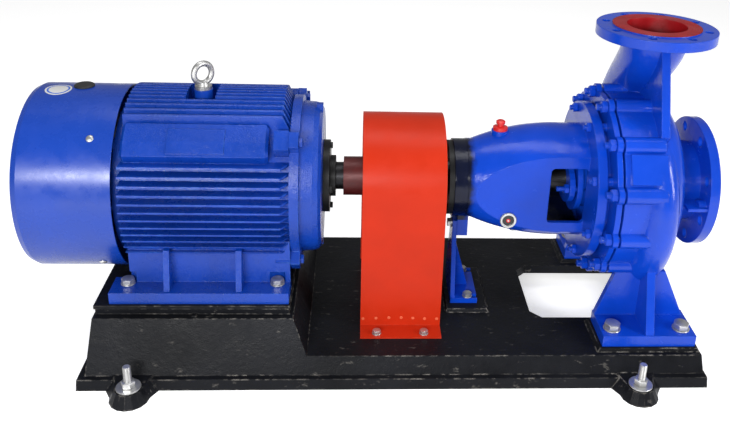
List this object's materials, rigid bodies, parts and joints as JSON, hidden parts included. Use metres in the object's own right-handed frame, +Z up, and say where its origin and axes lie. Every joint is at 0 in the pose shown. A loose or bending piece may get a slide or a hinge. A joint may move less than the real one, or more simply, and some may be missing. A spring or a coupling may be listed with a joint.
{
  "type": "base-mounted end-suction water pump set",
  "caption": "Electric motor driving an end-suction volute water pump through a guarded pin coupling, all on a cast base.",
  "frame": {"origin": "middle of the overall length and width, on the underside of the base", "axes": "+X along the shaft from motor to suction flange, +Z up along the discharge, -Y the side seen in the picture"},
  "size_m": [1.433, 0.678, 0.707],
  "materials": {
    "baseplate": "black enamel over a sand casting",
    "foundation_bolts": "zinc plated",
    "foundation_nuts": "zinc plated",
    "foundation_washers": "zinc plated",
    "motor_frame": "satin enamel",
    "motor_foot_bolts": "zinc plated",
    "drive_end_shield": "satin enamel",
    "fan_end_shield": "satin enamel",
    "end_shield_bolts": "satin enamel",
    "bearing_cap": "dark paint",
    "bearing_cap_bolts": "dark paint",
    "motor_shaft": "machined",
    "motor_coupling_key": "machined",
    "rotor_core": "laminated sheet",
    "stator_core": "laminated sheet",
    "stator_windings": "varnished wire",
    "motor_bearings": "machined",
    "cooling_fan": "moulded",
    "fan_cowl": "satin enamel",
    "fan_cowl_screws": "zinc plated",
    "cowl_plug": "matt",
    "lifting_eye": "zinc plated",
    "terminal_box": "satin enamel",
    "terminal_box_lid": "satin enamel",
    "terminal_lid_screws": "zinc plated",
    "cable_gland": "dark paint",
    "motor_coupling_half": "as cast",
    "pump_coupling_half": "as cast",
    "coupling_pins": "machined",
    "coupling_bushes": "matt",
    "coupling_nuts": "zinc plated",
    "coupling_guard": "satin enamel on bent sheet",
    "guard_bolts": "zinc plated",
    "volute_casing": "gloss enamel",
    "casing_gasket": "cut sheet",
    "casing_cover": "gloss enamel",
    "casing_studs": "gloss enamel",
    "casing_nuts": "gloss enamel",
    "bracket_studs": "gloss enamel",
    "bracket_nuts": "gloss enamel",
    "bearing_bracket": "gloss enamel",
    "bearing_covers": "dark paint",
    "bearing_cover_bolts": "dark paint",
    "pump_bearings": "machined",
    "pump_shaft": "machined",
    "pump_coupling_key": "machined",
    "shaft_sleeve": "machined",
    "impeller": "as cast",
    "impeller_nut": "machined bronze",
    "casing_wear_ring": "machined bronze",
    "packing_rings": "greased braid",
    "packing_gland": "as cast",
    "gland_studs": "machined",
    "gland_nuts": "machined",
    "oil_sight_glass": "bright rim",
    "filler_cap": "moulded",
    "drain_plug": "machined",
    "support_stand": "gloss enamel",
    "stand_bolts": "zinc plated",
    "pump_foot_bolts": "zinc plated"
  },
  "bodies": {
    "pump_set": {"baseplate": "baseplate", "foundation_bolts": "foundation_bolts", "foundation_nuts": "foundation_nuts", "foundation_washers": "foundation_washers", "motor_frame": "motor_frame", "motor_foot_bolts": "motor_foot_bolts", "drive_end_shield": "drive_end_shield", "fan_end_shield": "fan_end_shield", "end_shield_bolts": "end_shield_bolts", "bearing_cap": "bearing_cap", "bearing_cap_bolts": "bearing_cap_bolts", "stator_core": "stator_core", "stator_windings": "stator_windings", "motor_bearings": "motor_bearings", "fan_cowl": "fan_cowl", "fan_cowl_screws": "fan_cowl_screws", "cowl_plug": "cowl_plug", "lifting_eye": "lifting_eye", "terminal_box": "terminal_box", "terminal_box_lid": "terminal_box_lid", "terminal_lid_screws": "terminal_lid_screws", "cable_gland": "cable_gland", "coupling_guard": "coupling_guard", "guard_bolts": "guard_bolts", "volute_casing": "volute_casing", "casing_gasket": "casing_gasket", "casing_cover": "casing_cover", "casing_studs": "casing_studs", "casing_nuts": "casing_nuts", "bracket_studs": "bracket_studs", "bracket_nuts": "bracket_nuts", "bearing_bracket": "bearing_bracket", "bearing_covers": "bearing_covers", "bearing_cover_bolts": "bearing_cover_bolts", "pump_bearings": "pump_bearings", "casing_wear_ring": "casing_wear_ring", "packing_rings": "packing_rings", "gland_studs": "gland_studs", "oil_sight_glass": "oil_sight_glass", "drain_plug": "drain_plug", "support_stand": "support_stand", "stand_bolts": "stand_bolts", "pump_foot_bolts": "pump_foot_bolts"},
    "motor_rotor": {"motor_shaft": "motor_shaft", "motor_coupling_key": "motor_coupling_key", "rotor_core": "rotor_core", "cooling_fan": "cooling_fan", "motor_coupling_half": "motor_coupling_half", "coupling_pins": "coupling_pins", "coupling_bushes": "coupling_bushes", "coupling_nuts": "coupling_nuts"},
    "pump_rotor": {"pump_shaft": "pump_shaft", "pump_coupling_key": "pump_coupling_key", "shaft_sleeve": "shaft_sleeve", "impeller": "impeller", "impeller_nut": "impeller_nut", "pump_coupling_half": "pump_coupling_half"},
    "gland": {"packing_gland": "packing_gland", "gland_nuts": "gland_nuts"},
    "filler": {"filler_cap": "filler_cap"}
  },
  "joints": [
    {"name": "motor_spin", "type": "hinge", "parent": "pump_set", "child": "motor_rotor", "pos_m": [-0.0735, 0, 0.352], "axis": [1, 0, 0], "continuous": true},
    {"name": "pump_spin", "type": "hinge", "parent": "pump_set", "child": "pump_rotor", "pos_m": [0.2765, 0, 0.352], "axis": [1, 0, 0], "continuous": true},
    {"name": "gland_adjust", "type": "slide", "parent": "pump_set", "child": "gland", "axis": [-1, 0, 0], "range_m": [0, 0.014]},
    {"name": "filler_cap_pull", "type": "slide", "parent": "pump_set", "child": "filler", "axis": [0, 0, 1], "range_m": [0, 0.02]}
  ],
  "couplings": [
    {"joint": "pump_spin", "follows": "motor_spin", "ratio": 1}
  ]
}
